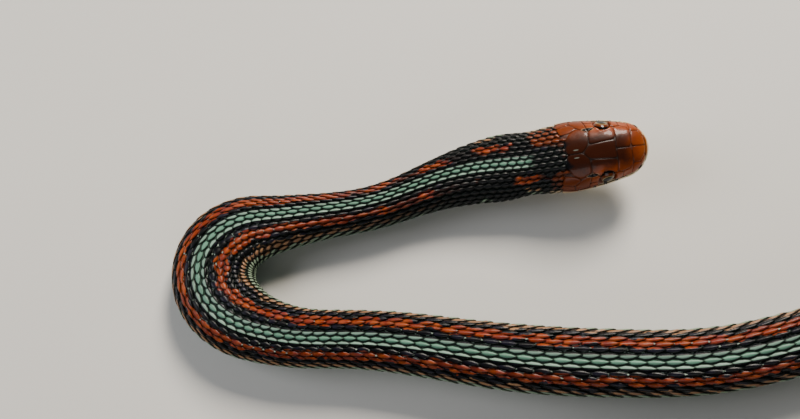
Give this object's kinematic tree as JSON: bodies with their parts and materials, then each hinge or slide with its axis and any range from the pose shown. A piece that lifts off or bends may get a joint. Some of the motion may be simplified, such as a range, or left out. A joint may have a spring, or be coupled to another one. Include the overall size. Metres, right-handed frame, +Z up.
{
  "type": "garter snake",
  "caption": "Still life-size garter snake lying belly down in loose folds, head slightly raised, mouth closed, striped keeled scales.",
  "frame": {"origin": "on the floor under the middle of the folded body's box", "axes": "+X along the long side of the folds, the way the head faces; +Y towards the head's side of the folds; +Z up"},
  "size_m": [0.1778, 0.0868, 0.0094],
  "materials": {
    "head_shields": "glossy rust-orange head shields, darker on the crown, with dark seams",
    "chin": "smooth cream chin and lower lip shields with fine dark seams",
    "eye": "wet-looking clear eye cap over a dark iris and round black pupil",
    "striped_scales": "satin keeled scales in mint, black, red-orange and tan stripes, with smooth blue-green belly scutes"
  },
  "bodies": {
    "root": {"head": "head_shields", "lower_jaw": "chin", "eye_left": "eye", "eye_right": "eye", "neck": "striped_scales", "body_1": "striped_scales", "body_2": "striped_scales", "body_3": "striped_scales", "body_4": "striped_scales", "body_5": "striped_scales", "body_6": "striped_scales", "body_7": "striped_scales", "body_8": "striped_scales", "body_9": "striped_scales", "body_10": "striped_scales", "body_11": "striped_scales", "body_12": "striped_scales", "body_13": "striped_scales", "body_14": "striped_scales", "body_15": "striped_scales", "tail_1": "striped_scales", "tail_2": "striped_scales", "tail_3": "striped_scales"}
  },
  "joints": []
}
